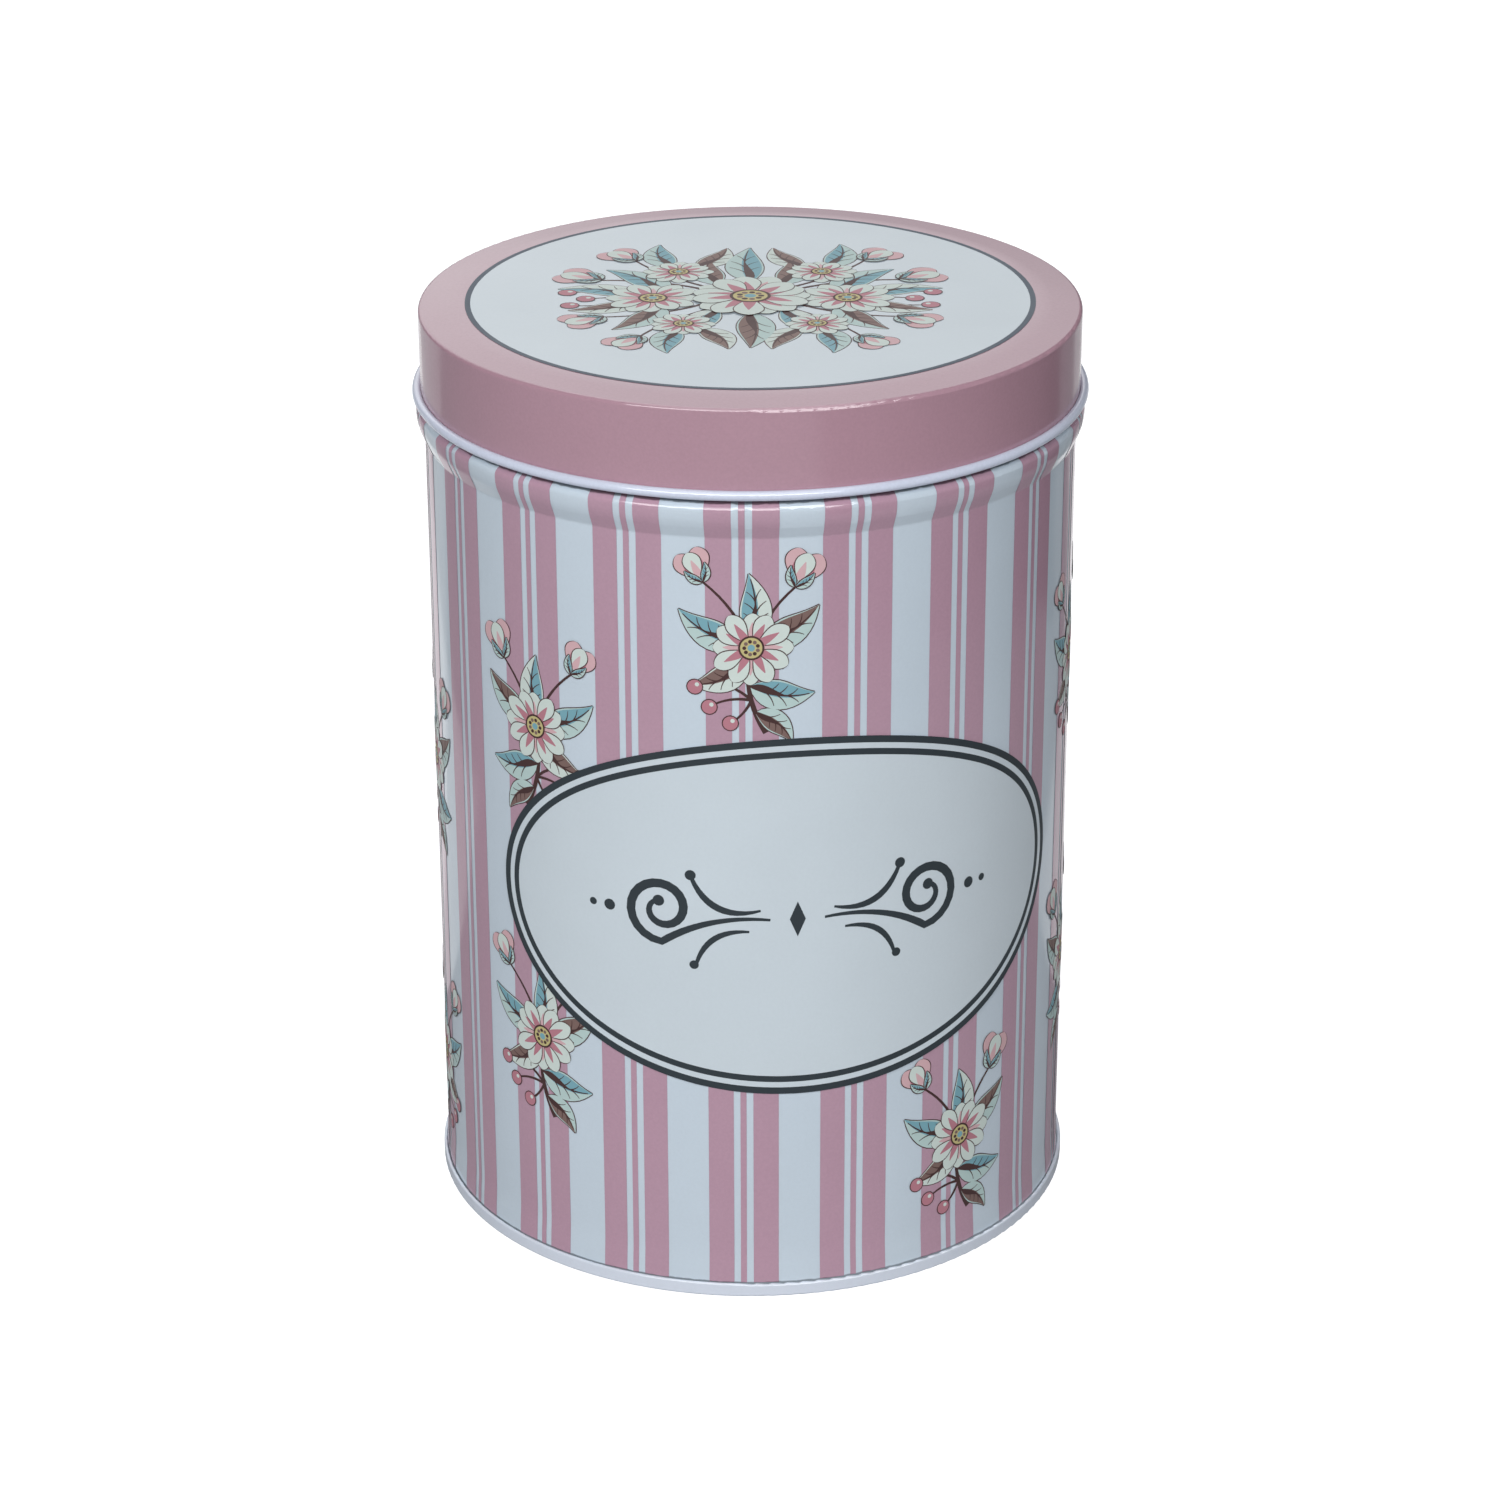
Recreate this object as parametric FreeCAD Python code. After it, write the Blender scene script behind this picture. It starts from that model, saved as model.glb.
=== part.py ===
import FreeCAD, Part
import math
import os

# A round printed tin canister with a loose slip lid, in three pieces of sheet metal.
# Sizes are in millimetres. The canister stands on Z = 0 with its axis on Z.
# Its front faces -Y, and the side seam of the wall is at the back, on +Y.

# Overall sizes
overall_height = 151.1          # floor to the lid's top
lid_diameter = 105.0            # outside the lid's skirt

# Lid: flat top, border that slopes a little, rounded edge, straight skirt, outward curl
lid_gauge = 0.25
lid_height = 14.6               # lid's top to the underside of its curl
lid_edge_radius = 0.6           # outside of the rounded edge
lid_border_width = 6.8          # flat top to the rounded edge
lid_border_angle = 4.6
lid_border_round = 30.0         # bend between the flat top and the border
lid_curl_diameter = 1.55        # outside of the rolled tube

# Fit of the lid on the wall
lid_side_clearance = 0.30       # skirt to wall, on the radius
lid_seat_gap = 0.30             # lid's inside to the mouth, lid on

# Wall: rolled sheet with an inward curl at the mouth
wall_gauge = 0.20
mouth_curl_diameter = 2.0
curl_tip_gap = 0.05             # each curl's tip short of its own sheet

# Stop bead under the lid: short steep shoulder above, long slope below
bead_stand = 1.30               # crest beyond the wall
bead_drop = 0.05                # start of the shoulder below the underside of the lid's curl
bead_shoulder_angle = 51.0
bead_shoulder_root = 0.60
bead_shoulder_round = 0.90
bead_crest_length = 0.40
bead_slope_angle = 24.0
bead_slope_round = 5.60
bead_slope_root = 1.20

# Foot: the wall spreads a little towards the bottom seam
foot_flare = 0.25
foot_flare_angle = 4.0
foot_flare_round = 40.0

# Double seam that joins the wall and the bottom
seam_height = 2.30
seam_layer_gap = 0.02           # between neighbouring layers of sheet
seam_corner_round = 0.25        # middle line of the two lower corners
hook_tip_gap = 0.10             # each hook's tip short of the fold that it faces

# Bottom: countersunk panel with a raised middle
bottom_gauge = 0.20
countersink_depth = 2.90        # floor to the underside of the outer panel
panel_corner_round = 0.80
panel_ring_width = 7.70         # flat ring round the raised middle
panel_rise = 0.80
panel_rise_angle = 45.0
panel_rise_round = 0.90

# Lock seam of the wall, folded to the inside
side_seam_width = 4.0
side_seam_layers = 2            # layers of sheet that lie inside the wall
side_seam_end_gap = 2.0         # clear of the bead and of the foot flare
side_seam_groove_width = 0.30
side_seam_groove_depth = 0.08

# Headings are in the plane of radius and height, in degrees
outward = 0.0
shortest_run = 0.001            # a straight run shorter than this is left out


def jog_shape(offset, angle, bends):
    # Turn in radians, straight slope and length ahead of a sideways shift made by two bends.
    turn = min(math.radians(angle), math.acos(1 - min(abs(offset) / bends, 1)))
    slope = (abs(offset) - bends * (1 - math.cos(turn))) / math.sin(turn)
    length = bends * math.sin(turn) + slope * math.cos(turn)
    return turn, slope, length


def curl_turn(diameter, gauge):
    # Degrees that a curl is rolled through until its tip comes back to its own sheet.
    outside = diameter / 2
    return 360 - math.degrees(math.acos((outside - gauge - curl_tip_gap) / outside))


class SheetStrip:
    # Sheet seen edge on: a middle line of straight runs and round bends, with a thickness.

    def __init__(self, radius, height, heading, gauge):
        self.point = FreeCAD.Vector(radius, 0, height)
        self.heading = heading
        self.half = gauge / 2
        self.left_edges = []
        self.right_edges = []
        self.start_cap = self.cap()

    def direction(self, angle):
        turned = math.radians(angle)
        return FreeCAD.Vector(math.cos(turned), 0, math.sin(turned))

    def cap(self):
        side = self.direction(self.heading + 90) * self.half
        return self.point + side, self.point - side

    def run(self, length):
        left_start, right_start = self.cap()
        self.point = self.point + self.direction(self.heading) * length
        left_end, right_end = self.cap()
        self.left_edges.append(Part.LineSegment(left_start, left_end).toShape())
        self.right_edges.append(Part.LineSegment(right_start, right_end).toShape())

    def run_to_radius(self, radius):
        self.run((radius - self.point.x) / math.cos(math.radians(self.heading)))

    def run_to_height(self, height):
        self.run((height - self.point.z) / math.sin(math.radians(self.heading)))

    def bend(self, radius, turn):
        # A positive turn goes to the left of the heading.
        side = math.copysign(1, turn)
        centre = self.point + self.direction(self.heading + 90 * side) * radius
        spoke = self.heading - 90 * side
        for edges, reach in ((self.left_edges, radius - side * self.half),
                             (self.right_edges, radius + side * self.half)):
            ends = [centre + self.direction(spoke + turn * share) * reach for share in (0, 0.5, 1)]
            edges.append(Part.Arc(*ends).toShape())
        self.point = centre + self.direction(spoke + turn) * radius
        self.heading = self.heading + turn

    def jog(self, offset, angle, first_radius, second_radius):
        # Shifts the strip sideways and brings it back to its heading. A positive offset goes left.
        turn, slope = jog_shape(offset, angle, first_radius + second_radius)[:2]
        turn = math.copysign(math.degrees(turn), offset)
        self.bend(first_radius, turn)
        if slope > shortest_run:
            self.run(slope)
        self.bend(second_radius, -turn)

    def revolved(self):
        left_start, right_start = self.start_cap
        left_end, right_end = self.cap()
        edges = list(self.left_edges)
        edges.append(Part.LineSegment(left_end, right_end).toShape())
        edges.extend(reversed(self.right_edges))
        edges.append(Part.LineSegment(right_start, left_start).toShape())
        face = Part.Face(Part.Wire(Part.__sortEdges__(edges)))
        return face.revolve(FreeCAD.Vector(0, 0, 0), FreeCAD.Vector(0, 0, 1), 360)


# Middle lines shared by the pieces
lid_radius = lid_diameter / 2 - lid_gauge / 2
lid_inside_radius = lid_diameter / 2 - lid_gauge
lid_bottom = overall_height - lid_height
lid_edge_middle = lid_edge_radius - lid_gauge / 2
lid_slope = math.radians(lid_border_angle)
lid_border_outside = lid_radius - lid_edge_middle * (1 - math.sin(lid_slope))
lid_border_run = lid_border_width - lid_border_round * math.sin(lid_slope)
lid_border_drop = lid_border_round * (1 - math.cos(lid_slope)) + lid_border_run * math.tan(lid_slope)
wall_outside_radius = lid_inside_radius - lid_side_clearance
wall_radius = wall_outside_radius - wall_gauge / 2
mouth_top = overall_height - lid_gauge - lid_border_drop - lid_seat_gap

# Layers of the double seam, from the inside out: chuck wall, wall, cover hook, body hook, rim
wall_foot_radius = wall_radius + foot_flare
layer_step = wall_gauge / 2 + seam_layer_gap + bottom_gauge / 2
chuck_radius = wall_foot_radius - layer_step
seam_rim_radius = wall_foot_radius + 3 * layer_step
wall_fold_height = bottom_gauge + seam_layer_gap + layer_step + wall_gauge / 2
rim_fold_height = seam_height - layer_step - bottom_gauge / 2


def make_lid():
    curl = (lid_curl_diameter - lid_gauge) / 2
    strip = SheetStrip(0, overall_height - lid_gauge / 2, outward, lid_gauge)
    strip.run_to_radius(lid_border_outside - lid_border_width)
    strip.bend(lid_border_round, -lid_border_angle)
    strip.run_to_radius(lid_border_outside)
    strip.bend(lid_edge_middle, lid_border_angle - 90)
    strip.run_to_height(lid_bottom + lid_curl_diameter / 2)
    strip.bend(curl, curl_turn(lid_curl_diameter, lid_gauge))
    return strip.revolved()


def side_seam_block(inside_radius, outside_radius, width, low, high):
    # A strip of the wall's own curve, centred on the back.
    arc = 2 * math.degrees(math.asin(width / 2 / outside_radius))
    corners = [FreeCAD.Vector(radius, 0, height) for radius, height in
               ((inside_radius, low), (outside_radius, low), (outside_radius, high), (inside_radius, high))]
    face = Part.Face(Part.makePolygon(corners + corners[:1]))
    block = face.revolve(FreeCAD.Vector(0, 0, 0), FreeCAD.Vector(0, 0, 1), arc)
    block.rotate(FreeCAD.Vector(0, 0, 0), FreeCAD.Vector(0, 0, 1), 90 - arc / 2)
    return block


def make_body_shell():
    curl = (mouth_curl_diameter - wall_gauge) / 2
    curl_height = mouth_top - mouth_curl_diameter / 2
    turn = curl_turn(mouth_curl_diameter, wall_gauge)
    tip = math.radians(turn)
    strip = SheetStrip(wall_radius - curl + curl * math.cos(tip), curl_height + curl * math.sin(tip),
                       turn - 90, wall_gauge)
    strip.bend(curl, -turn)
    strip.run_to_height(lid_bottom - bead_drop)
    strip.jog(bead_stand, bead_shoulder_angle, bead_shoulder_root, bead_shoulder_round)
    strip.run(bead_crest_length)
    strip.jog(-bead_stand, bead_slope_angle, bead_slope_round, bead_slope_root)
    bead_end = strip.point.z

    # The straight wall ends where the flare above the seam starts.
    flare_length = jog_shape(foot_flare, foot_flare_angle, 2 * foot_flare_round)[2]
    flare_start = seam_height + flare_length
    strip.run_to_height(flare_start)
    strip.jog(foot_flare, foot_flare_angle, foot_flare_round, foot_flare_round)
    strip.run_to_height(wall_fold_height)
    strip.bend(layer_step, 180)
    strip.run_to_height(rim_fold_height - hook_tip_gap)
    shell = strip.revolved()

    inside = wall_outside_radius - wall_gauge
    low = flare_start + side_seam_end_gap
    high = bead_end - side_seam_end_gap
    fold = side_seam_block(inside - side_seam_layers * wall_gauge, inside + wall_gauge / 2,
                           side_seam_width, low, high)
    groove = side_seam_block(wall_outside_radius - side_seam_groove_depth, wall_outside_radius + wall_gauge,
                             side_seam_groove_width, low, high)
    return shell.fuse(fold).cut(groove)


def make_bottom_end():
    panel_height = countersink_depth + bottom_gauge / 2
    panel_edge = chuck_radius - panel_corner_round
    rise_length = jog_shape(panel_rise, panel_rise_angle, 2 * panel_rise_round)[2]
    strip = SheetStrip(0, panel_height + panel_rise, outward, bottom_gauge)
    strip.run_to_radius(panel_edge - panel_ring_width - rise_length)
    strip.jog(-panel_rise, panel_rise_angle, panel_rise_round, panel_rise_round)
    strip.run_to_radius(panel_edge)
    strip.bend(panel_corner_round, -90)
    strip.run_to_height(bottom_gauge / 2 + seam_corner_round)
    strip.bend(seam_corner_round, 90)
    strip.run_to_radius(seam_rim_radius - seam_corner_round)
    strip.bend(seam_corner_round, 90)
    strip.run_to_height(rim_fold_height)
    strip.bend(layer_step, 180)
    strip.run_to_height(wall_fold_height + hook_tip_gap)
    return strip.revolved()


os.makedirs("parts", exist_ok=True)
make_body_shell().exportStep("parts/body_shell.step")
make_bottom_end().exportStep("parts/bottom_end.step")
make_lid().exportStep("parts/lid.step")
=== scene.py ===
import bpy
import math
import random
from mathutils import Euler, Matrix, Vector


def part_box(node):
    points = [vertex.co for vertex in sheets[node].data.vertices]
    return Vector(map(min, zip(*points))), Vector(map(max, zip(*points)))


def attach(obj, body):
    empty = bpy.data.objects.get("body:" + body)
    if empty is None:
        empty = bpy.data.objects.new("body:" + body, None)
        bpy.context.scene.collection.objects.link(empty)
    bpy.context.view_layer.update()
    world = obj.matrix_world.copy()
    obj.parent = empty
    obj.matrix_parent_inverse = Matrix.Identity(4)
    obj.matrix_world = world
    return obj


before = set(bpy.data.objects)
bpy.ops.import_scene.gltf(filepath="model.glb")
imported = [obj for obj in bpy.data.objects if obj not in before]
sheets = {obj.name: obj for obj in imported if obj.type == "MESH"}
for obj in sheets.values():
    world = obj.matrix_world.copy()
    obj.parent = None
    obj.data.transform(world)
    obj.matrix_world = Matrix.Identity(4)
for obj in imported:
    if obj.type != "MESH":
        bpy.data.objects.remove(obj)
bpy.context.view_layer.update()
mm = 0.001               # sizes below are in millimetres, the frame is in metres
print("frame loaded:", ", ".join(sorted(sheets)))


def toLinear(hexColour):
    # sRGB hex to the linear colour that a shader takes
    parts = [int(hexColour[i:i + 2], 16) / 255 for i in (1, 3, 5)]
    return [p / 12.92 if p <= 0.04045 else ((p + 0.055) / 1.055) ** 2.4 for p in parts] + [1.0]


def addNode(tree, kind, settings={}, links={}):
    node = tree.nodes.new("ShaderNode" + kind)
    for key, value in settings.items():
        if isinstance(key, str) and hasattr(node, key):
            setattr(node, key, value)
        else:
            node.inputs[key].default_value = value
    for key, socket in links.items():
        tree.links.new(socket, node.inputs[key])
    return node


def newFinish(name):
    finish = bpy.data.materials.new(name)
    finish.use_nodes = True
    tree = finish.node_tree
    return finish, tree, tree.nodes["Principled BSDF"]


# Satin varnish, rolled over the print and stoved: a fine orange peel and slightly uneven gloss.
varnish = {
    "gloss": 0.14,        # roughness of the varnish
    "glossSpread": 0.05,
    "glossPatch": 14.0,   # size of the duller and brighter patches
    "glossNoise": (0.3, 0.7),   # part of the noise that the spread is drawn over
    "peelPitch": 1.6,     # the real peel is about 0.3, drawn coarser so that it shows
    "peelHeight": 0.0016,
    "ior": 1.70,          # a little above plain varnish, for the strong highlights
}


def addVarnish(tree, shader, place, gloss=varnish["gloss"]):
    spread = varnish["glossSpread"]
    low, high = varnish["glossNoise"]
    patches = addNode(tree, "TexNoise", {"Scale": 1 / (varnish["glossPatch"] * mm), "Detail": 3.0},
                      {"Vector": place})
    uneven = addNode(tree, "MapRange", {"From Min": low, "From Max": high, "To Min": gloss - spread,
                                        "To Max": gloss + spread}, {"Value": patches.outputs["Fac"]})
    peel = addNode(tree, "TexNoise", {"Scale": 1 / (varnish["peelPitch"] * mm), "Detail": 2.0},
                   {"Vector": place})
    bump = addNode(tree, "Bump", {"Strength": 1.0, "Distance": varnish["peelHeight"] * mm},
                   {"Height": peel.outputs["Fac"]})
    tree.links.new(uneven.outputs["Result"], shader.inputs["Roughness"])
    tree.links.new(bump.outputs["Normal"], shader.inputs["Normal"])
    shader.inputs["IOR"].default_value = varnish["ior"]


grainNoise = (0.25, 0.75)   # part of each noise that its share is drawn over


def addGrain(tree, place, colour, look):
    # Ink never lies quite evenly: fine grain and broad clouds, as shares of the colour's own value.
    # The colour is a plain one or a socket.
    shares = []
    for pitch, share, detail in ((look["grainPitch"], look["grain"], 1.0),
                                 (look["cloudPitch"], look["cloud"], 2.0)):
        noise = addNode(tree, "TexNoise", {"Scale": 1 / (pitch * mm), "Detail": detail}, {"Vector": place})
        ranged = addNode(tree, "MapRange", {"From Min": grainNoise[0], "From Max": grainNoise[1],
                                            "To Min": 1 - share, "To Max": 1 + share},
                         {"Value": noise.outputs["Fac"]})
        shares.append(ranged.outputs["Result"])
    both = addNode(tree, "Math", {"operation": "MULTIPLY"}, {0: shares[0], 1: shares[1]})
    mixed = addNode(tree, "VectorMath", {"operation": "SCALE"}, {"Scale": both.outputs["Value"]})
    if isinstance(colour, list):
        mixed.inputs[0].default_value = colour[:3]
    else:
        tree.links.new(colour, mixed.inputs[0])
    return mixed.outputs["Vector"]


def printOver(tree, shader, place, colour, look):
    tree.links.new(addGrain(tree, place, colour, look), shader.inputs["Base Color"])
    addVarnish(tree, shader, place)


# Painted shade: dark lines in the crease under the lid's curl, at the root of the bead, and in the crease
# just above the bottom seam
creaseShadeLines = {
    "lines": [(136.2, 0.35, 0.32), (2.15, 0.22, 0.40)],   # middle, half height, share of colour left
    "fade": 0.14,
    "ragged": 0.40,       # how far the edge wanders
    "raggedPitch": 2.0,
}


def addPaintedCreaseShade(tree, place, hexColour):
    height = addNode(tree, "SeparateXYZ", {}, {0: place})
    specks = addNode(tree, "TexNoise", {"Scale": 1 / (creaseShadeLines["raggedPitch"] * mm)}, {"Vector": place})
    wander = addNode(tree, "Math", {"operation": "MULTIPLY_ADD", 1: creaseShadeLines["ragged"] * mm,
                                    2: -creaseShadeLines["ragged"] / 2 * mm}, {0: specks.outputs["Fac"]})
    colour = None
    for middle, half, left in creaseShadeLines["lines"]:
        above = addNode(tree, "Math", {"operation": "SUBTRACT", 1: middle * mm}, {0: height.outputs["Z"]})
        away = addNode(tree, "Math", {"operation": "ABSOLUTE"}, {0: above.outputs["Value"]})
        ragged = addNode(tree, "Math", {}, {0: away.outputs["Value"], 1: wander.outputs["Value"]})
        edge = half + creaseShadeLines["fade"]
        share = addNode(tree, "MapRange", {"From Min": half * mm, "From Max": edge * mm, "To Min": left},
                        {"Value": ragged.outputs["Value"]})
        # The colour scaled down here is the painted shade of the crease
        rubbed = addNode(tree, "VectorMath", {"operation": "SCALE"}, {"Scale": share.outputs["Result"]})
        if colour is None:
            rubbed.inputs[0].default_value = toLinear(hexColour)[:3]
        else:
            tree.links.new(colour, rubbed.inputs[0])
        colour = rubbed.outputs["Vector"]
    return colour


def printedInk(name, hexColour, look, rubbed=False):
    # Litho ink under the varnish: even colour with the grain of the plate in it
    finish, tree, shader = newFinish(name)
    place = addNode(tree, "TexCoord").outputs["Object"]
    # With rubbed set, the colour also takes the painted crease shade lines under the lid's curl and above
    # the bottom seam
    colour = addPaintedCreaseShade(tree, place, hexColour) if rubbed else toLinear(hexColour)
    printOver(tree, shader, place, colour, look)
    return finish


# Overprinted ink in areas too small for its grain to show.
# It dries matt, so it stays dark at a low angle.
overprint = {"gloss": 0.55, "specular": 0.3}


def plainInk(name, hexColour):
    finish, tree, shader = newFinish(name)
    place = addNode(tree, "TexCoord").outputs["Object"]
    shader.inputs["Base Color"].default_value = toLinear(hexColour)
    shader.inputs["Specular IOR Level"].default_value = overprint["specular"]
    addVarnish(tree, shader, place, overprint["gloss"])
    return finish


# Wall: tinplate with white enamel, roller coated and stoved. It gives a cool, even, satin white.
wallLook = {
    "outside": "#cfdce7",
    "inside": "#d6dcdf",
    "grainPitch": 0.5,    # finer in life, drawn as coarse as it needs to show
    "grain": 0.012,
    "cloudPitch": 25.0,
    "cloud": 0.02,
}


def whiteEnamel():
    finish, tree, shader = newFinish("tinplate, roller-coated white enamel")
    place = addNode(tree, "TexCoord").outputs["Object"]
    facing = addNode(tree, "NewGeometry").outputs["Normal"]
    radial = addNode(tree, "VectorMath", {"operation": "MULTIPLY", 1: (1, 1, 0)}, {0: place})
    outward = addNode(tree, "VectorMath", {"operation": "DOT_PRODUCT"},
                      {0: radial.outputs["Vector"], 1: facing})
    isOutside = addNode(tree, "Math", {"operation": "GREATER_THAN", 1: 0.0}, {0: outward.outputs["Value"]})
    # The outside white carries the painted crease shade lines
    outside = addPaintedCreaseShade(tree, place, wallLook["outside"])
    colour = addNode(tree, "Mix", {"data_type": "RGBA", 6: toLinear(wallLook["inside"])},
                     {"Factor": isOutside.outputs["Value"], 7: outside})   # 6 and 7 are its two colours
    printOver(tree, shader, place, colour.outputs[2], wallLook)
    return finish


# Lid: pink outside, down to the crease above the curl. The curl shows the white inside of the sheet.
lidLook = {
    "pink": "#b6909e",
    "white": "#d9e0f2",
    "curlDiameter": 1.55,
    "curlMargin": 0.02,   # the white goes this far round the curl's outside
    "grainPitch": 0.45,   # grain of the plate, drawn coarser than life
    "grain": 0.03,
    "cloudPitch": 22.0,
    "cloud": 0.025,
}


def lidTinplate():
    finish, tree, shader = newFinish("tinplate, offset-printed pink under satin varnish")
    low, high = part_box("lid")
    curlRadius = lidLook["curlDiameter"] / 2
    curlCentre = (high.x / mm - curlRadius, low.z / mm + curlRadius, 0)

    place = addNode(tree, "TexCoord").outputs["Object"]
    facing = addNode(tree, "NewGeometry").outputs["Normal"]
    inMm = addNode(tree, "VectorMath", {"operation": "SCALE", "Scale": 1 / mm}, {0: place})
    flat = addNode(tree, "VectorMath", {"operation": "MULTIPLY", 1: (1, 1, 0)},
                   {0: inMm.outputs["Vector"]})
    radial = addNode(tree, "VectorMath", {"operation": "NORMALIZE"}, {0: flat.outputs["Vector"]})
    upAndOut = addNode(tree, "VectorMath", {"operation": "ADD", 1: (0, 0, 1)},
                       {0: radial.outputs["Vector"]})
    outward = addNode(tree, "VectorMath", {"operation": "DOT_PRODUCT"},
                      {0: upAndOut.outputs["Vector"], 1: facing})
    isOutside = addNode(tree, "Math", {"operation": "GREATER_THAN", 1: 0.0}, {0: outward.outputs["Value"]})
    radius = addNode(tree, "VectorMath", {"operation": "LENGTH"}, {0: flat.outputs["Vector"]})
    height = addNode(tree, "SeparateXYZ", {}, {0: inMm.outputs["Vector"]})
    section = addNode(tree, "CombineXYZ", {}, {0: radius.outputs["Value"], 1: height.outputs["Z"]})
    fromCurl = addNode(tree, "VectorMath", {"operation": "DISTANCE", 1: curlCentre},
                       {0: section.outputs["Vector"]})
    offCurl = addNode(tree, "Math", {"operation": "GREATER_THAN", 1: curlRadius + lidLook["curlMargin"]},
                      {0: fromCurl.outputs["Value"]})
    isPink = addNode(tree, "Math", {"operation": "MULTIPLY"},
                     {0: isOutside.outputs["Value"], 1: offCurl.outputs["Value"]})
    colours = {"data_type": "RGBA", 6: toLinear(lidLook["white"]), 7: toLinear(lidLook["pink"])}
    colour = addNode(tree, "Mix", colours, {"Factor": isPink.outputs["Value"]})
    printOver(tree, shader, place, colour.outputs[2], lidLook)
    return finish


# Bottom: white coated tinplate, rubbed to bare metal here and there where the seam stands on a shelf.
bottomLook = {
    "white": "#dfe6f2",
    "bare": "#8f9296",
    "rubbedHeight": 0.10,
    "rubbedPitch": 2.5,
    "rubbedNoise": (0.52, 0.60),   # from coated to bare
    "grainPitch": 0.5,
    "grain": 0.012,
    "cloudPitch": 25.0,
    "cloud": 0.02,
}


def coatedBottom():
    finish, tree, shader = newFinish("tinplate, white coated, rubbed at the seam")
    place = addNode(tree, "TexCoord").outputs["Object"]
    height = addNode(tree, "SeparateXYZ", {}, {0: place})
    isLow = addNode(tree, "Math", {"operation": "LESS_THAN", 1: bottomLook["rubbedHeight"] * mm},
                    {0: height.outputs["Z"]})
    specks = addNode(tree, "TexNoise", {"Scale": 1 / (bottomLook["rubbedPitch"] * mm), "Detail": 4.0},
                     {"Vector": place})
    coated, bare = bottomLook["rubbedNoise"]
    worn = addNode(tree, "MapRange", {"From Min": coated, "From Max": bare},
                   {"Value": specks.outputs["Fac"]})
    rubbed = addNode(tree, "Math", {"operation": "MULTIPLY"},
                     {0: isLow.outputs["Value"], 1: worn.outputs["Result"]})
    colours = {"data_type": "RGBA", 6: toLinear(bottomLook["white"]), 7: toLinear(bottomLook["bare"])}
    colour = addNode(tree, "Mix", colours, {"Factor": rubbed.outputs["Value"]})
    printOver(tree, shader, place, colour.outputs[2], bottomLook)
    return finish


def dress(node, finish):
    for place in sheets[node].material_slots:
        place.link = "OBJECT"
        place.material = finish


dress("body_shell", whiteEnamel())
dress("lid", lidTinplate())
dress("bottom_end", coatedBottom())
print("sheets of tinplate dressed")


# Flat artwork. A shape is a list of points and a list of faces, in millimetres.
def patch(firstEdge, secondEdge, columns=1):
    # A shape between two edges that have the same count of points. Points that meet are joined.
    points, faces, known = [], [], {}
    rows = []
    for a, b in zip(firstEdge, secondEdge):
        row = []
        for k in range(columns + 1):
            spot = (a[0] + (b[0] - a[0]) * k / columns, a[1] + (b[1] - a[1]) * k / columns)
            key = (round(spot[0], 3), round(spot[1], 3))
            if key not in known:
                known[key] = len(points)
                points.append(spot)
            row.append(known[key])
        rows.append(row)
    area = 0
    for low, high in zip(rows, rows[1:]):
        for k in range(columns):
            face = list(dict.fromkeys((low[k], low[k + 1], high[k + 1], high[k])))
            if len(face) > 2:
                faces.append(face)
                corners = [points[i] for i in face]
                area += sum(p[0] * q[1] - q[0] * p[1] for p, q in zip(corners, corners[1:] + corners[:1]))
    if area < 0:
        faces = [face[::-1] for face in faces]
    return points, faces


def oval(centre, halfWidth, halfHeight, count):
    # Points round an oval, the first repeated at the end
    return [(centre[0] + halfWidth * math.cos(2 * math.pi * k / count),
             centre[1] + halfHeight * math.sin(2 * math.pi * k / count)) for k in range(count + 1)]


def ovalPatch(centre, halfWidth, halfHeight, count, columns=1):
    turns = [math.pi * k / count for k in range(count + 1)]
    upper = [(centre[0] + halfWidth * math.cos(t), centre[1] + halfHeight * math.sin(t)) for t in turns]
    lower = [(x, 2 * centre[1] - y) for x, y in upper]
    return patch(upper, lower, columns)


def bow(start, end, bulge, count=12):
    # A bowed line. Its middle stands to the left by that share of its length.
    start, end = Vector(start), Vector(end)
    across = end - start
    pull = (start + end) / 2 + Vector((-across.y, across.x)) * bulge * 2
    line = []
    for k in range(count + 1):
        t = k / count
        line.append(start * (1 - t) ** 2 + pull * 2 * t * (1 - t) + end * t ** 2)
    return line


def beside(line, offsets):
    # The line moved to its left, by its own amount at each point
    moved = []
    for k, point in enumerate(line):
        ahead = line[min(k + 1, len(line) - 1)] - line[max(k - 1, 0)]
        side = Vector((-ahead.y, ahead.x)).normalized()
        moved.append(tuple(point + side * offsets[k]))
    return moved


def stroke(line, startWidth, endWidth, swell=0.0):
    last = len(line) - 1
    half = [(startWidth + (endWidth - startWidth) * k / last + swell * math.sin(math.pi * k / last)) / 2
            for k in range(last + 1)]
    return patch(beside(line, half), beside(line, [-h for h in half]))


def placed(shapes, x, y, angle=0.0, size=1.0, flip=1):
    # Shapes turned about their own origin, in degrees, then moved. A flip of -1 mirrors them first.
    turn = math.radians(angle)
    moved = []
    for ink, layer, (points, faces) in shapes:
        spots = []
        for px, py in points:
            px, py = px * size, py * size * flip
            spots.append((x + px * math.cos(turn) - py * math.sin(turn),
                          y + px * math.sin(turn) + py * math.cos(turn)))
        moved.append((ink, layer, (spots, faces if flip > 0 else [f[::-1] for f in faces])))
    return moved


def raised(shapes, rise):
    return [(ink, layer + rise, shape) for ink, layer, shape in shapes]


def mirrored(shapes):
    # Left for right
    return placed(shapes, 0, 0, 180, 1, -1)


# Films of ink on the sheet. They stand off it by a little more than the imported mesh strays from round.
filmRise = {"first": 0.050, "step": 0.010, "thickness": 0.008}


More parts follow.
